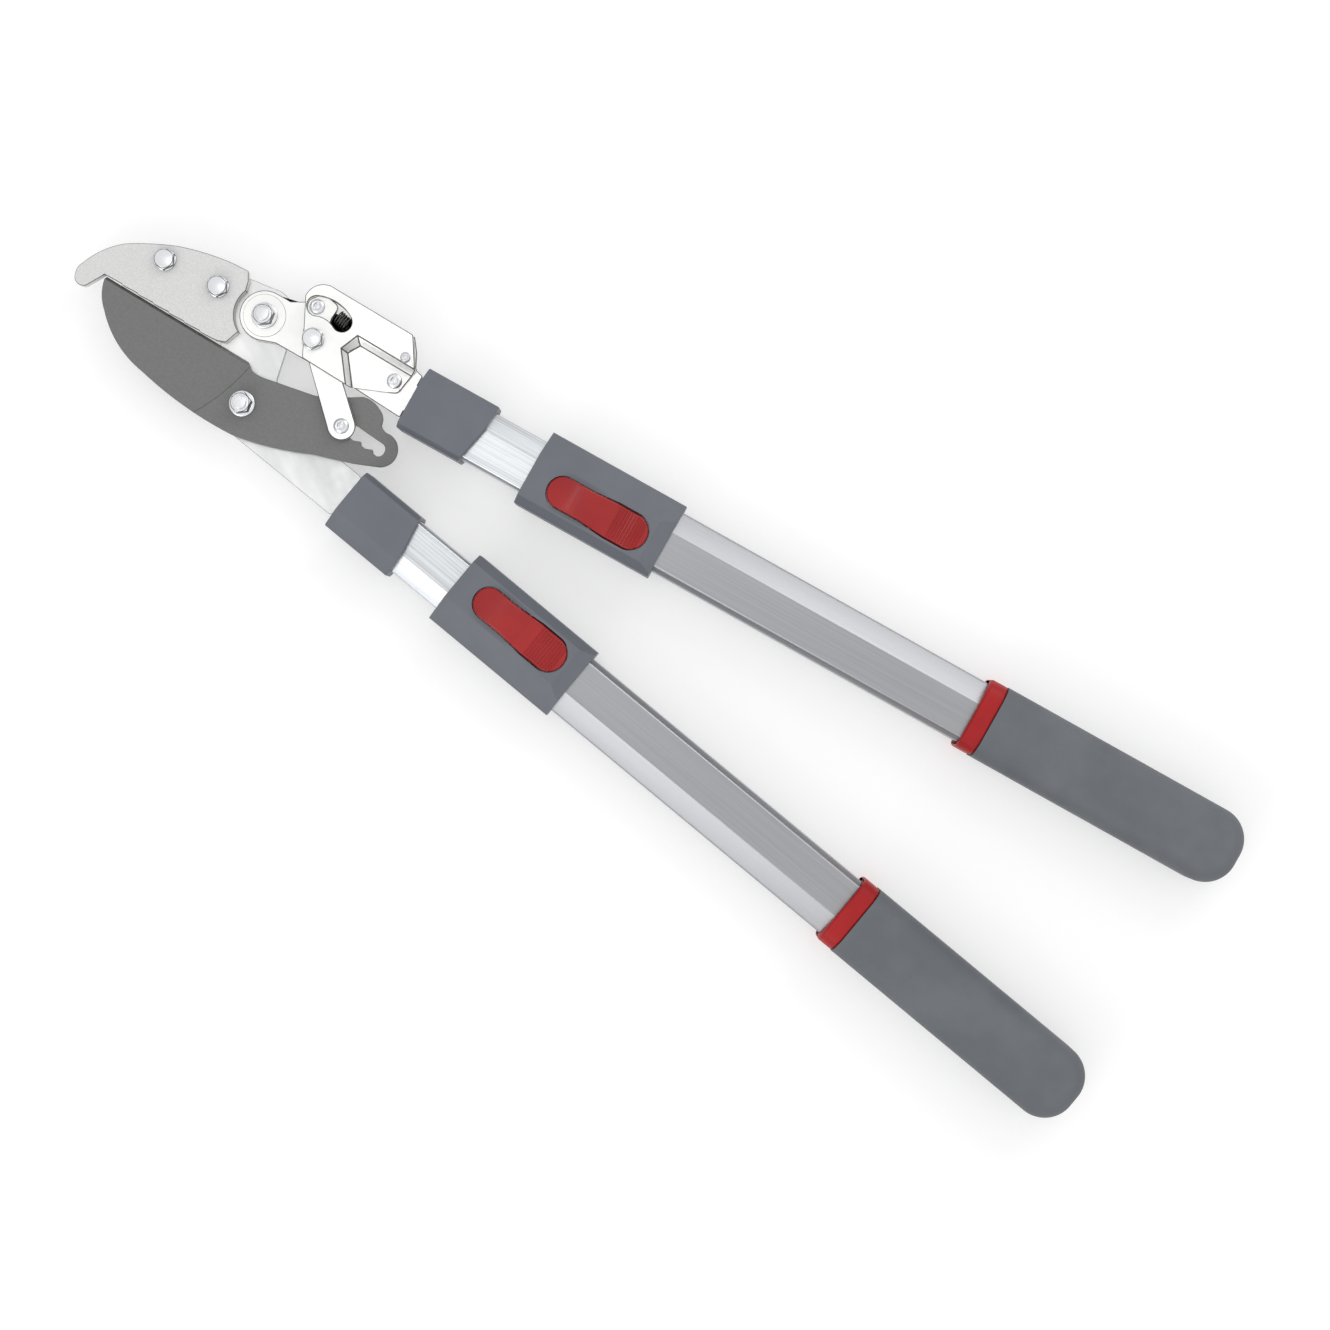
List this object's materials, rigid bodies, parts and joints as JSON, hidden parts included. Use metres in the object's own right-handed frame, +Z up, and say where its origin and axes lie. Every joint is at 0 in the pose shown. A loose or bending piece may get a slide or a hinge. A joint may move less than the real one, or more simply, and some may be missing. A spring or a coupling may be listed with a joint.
{
  "type": "ratchet lopper",
  "caption": "Telescopic ratchet loppers with a hooked saw-edged anvil, a notched cutting blade and lever-locked sliding handles.",
  "frame": {"origin": "on the ground under the middle of the whole tool's box, the tool lying flat on its sleeves and grips with the jaw closed and the handles pushed in", "axes": "+X from the hooked jaw to the grips along the middle of the V, +Y towards the upper handle, +Z up, along the pivots"},
  "size_m": [0.6648, 0.186, 0.0352],
  "materials": {
    "anvil_steel": "bead-blasted zinc plate",
    "blade_coating": "satin dark non-stick coating",
    "frame_steel": "galvanised sheet",
    "zinc_plate": "bright zinc plated sheet",
    "fastener_zinc": "bright zinc plated",
    "spring_black": "black oxide",
    "tube_bright": "bright anodised",
    "tube_satin": "satin anodised",
    "slate_plastic": "moulded, fine satin",
    "grip_plastic": "soft matte moulding",
    "red_plastic": "moulded, satin gloss",
    "black_plastic": "moulded"
  },
  "bodies": {
    "lower_frame": {"lower_frame_plate": "frame_steel", "anvil": "anvil_steel", "anvil_bolts": "fastener_zinc", "anvil_nuts": "fastener_zinc", "main_pivot_bolt": "fastener_zinc", "main_pivot_nut": "fastener_zinc", "blade_pivot_bolt": "fastener_zinc", "blade_pivot_nut": "fastener_zinc", "lower_collar": "slate_plastic", "lower_tang_block": "black_plastic", "lower_tang_rivets": "fastener_zinc", "lower_inner_tube": "tube_bright", "lower_tube_bush": "black_plastic"},
    "upper_arm": {"upper_arm_plate": "zinc_plate", "cover_plate": "zinc_plate", "cover_rivets": "fastener_zinc", "link_pivot_bolt": "fastener_zinc", "link_pivot_nut": "fastener_zinc", "ratchet_spring": "spring_black", "upper_collar": "slate_plastic", "upper_tang_block": "black_plastic", "upper_tang_rivets": "fastener_zinc", "upper_inner_tube": "tube_bright", "upper_tube_bush": "black_plastic"},
    "blade": {"blade": "blade_coating"},
    "link": {"ratchet_link": "zinc_plate", "ratchet_pin": "fastener_zinc", "spring_rivet": "fastener_zinc"},
    "upper_slide": {"upper_outer_tube": "tube_satin", "upper_lock_sleeve": "slate_plastic", "upper_sleeve_screws": "fastener_zinc", "upper_lever_pin": "fastener_zinc", "upper_lever_spring": "spring_black", "upper_grip_ring": "red_plastic", "upper_grip": "grip_plastic", "upper_end_plug": "black_plastic"},
    "lower_slide": {"lower_outer_tube": "tube_satin", "lower_lock_sleeve": "slate_plastic", "lower_sleeve_screws": "fastener_zinc", "lower_lever_pin": "fastener_zinc", "lower_lever_spring": "spring_black", "lower_grip_ring": "red_plastic", "lower_grip": "grip_plastic", "lower_end_plug": "black_plastic"},
    "upper_lever": {"upper_lock_lever": "red_plastic", "upper_lock_peg": "fastener_zinc"},
    "lower_lever": {"lower_lock_lever": "red_plastic", "lower_lock_peg": "fastener_zinc"}
  },
  "joints": [
    {"name": "handle_hinge", "type": "hinge", "parent": "lower_frame", "child": "upper_arm", "pos_m": [-0.23896, 0.0229, 0.018], "axis": [0, 0, 1], "range_deg": [0, 48]},
    {"name": "blade_hinge", "type": "hinge", "parent": "lower_frame", "child": "blade", "pos_m": [-0.22296, -0.0211, 0.014], "axis": [0, 0, 1], "range_deg": [0, 36]},
    {"name": "link_hinge", "type": "hinge", "parent": "upper_arm", "child": "link", "pos_m": [-0.21046, 0.0269, 0.018], "axis": [0, 0, 1], "range_deg": [-22.56, 0], "deforming": ["ratchet_spring"]},
    {"name": "upper_telescope", "type": "slide", "parent": "upper_arm", "child": "upper_slide", "axis": [0.9958, 0.0913, 0], "range_m": [0, 0.33]},
    {"name": "upper_lock", "type": "hinge", "parent": "upper_slide", "child": "upper_lever", "pos_m": [-0.03937, 0.03561, 0.0303], "axis": [-0.0913, 0.9958, 0], "range_deg": [0, 5], "stiffness_Nm_per_rad": 1.5, "springref_deg": -1.72, "deforming": ["upper_lever_spring"]},
    {"name": "lower_telescope", "type": "slide", "parent": "lower_frame", "child": "lower_slide", "axis": [0.9958, -0.0913, 0], "range_m": [0, 0.33]},
    {"name": "lower_lock", "type": "hinge", "parent": "lower_slide", "child": "lower_lever", "pos_m": [-0.03837, -0.03561, 0.0303], "axis": [0.0913, 0.9958, 0], "range_deg": [0, 5], "stiffness_Nm_per_rad": 1.5, "springref_deg": -1.72, "deforming": ["lower_lever_spring"]}
  ],
  "couplings": [
    {"joint": "blade_hinge", "follows": "handle_hinge", "ratio": 0.75},
    {"joint": "link_hinge", "follows": "handle_hinge", "ratio": -0.47}
  ]
}
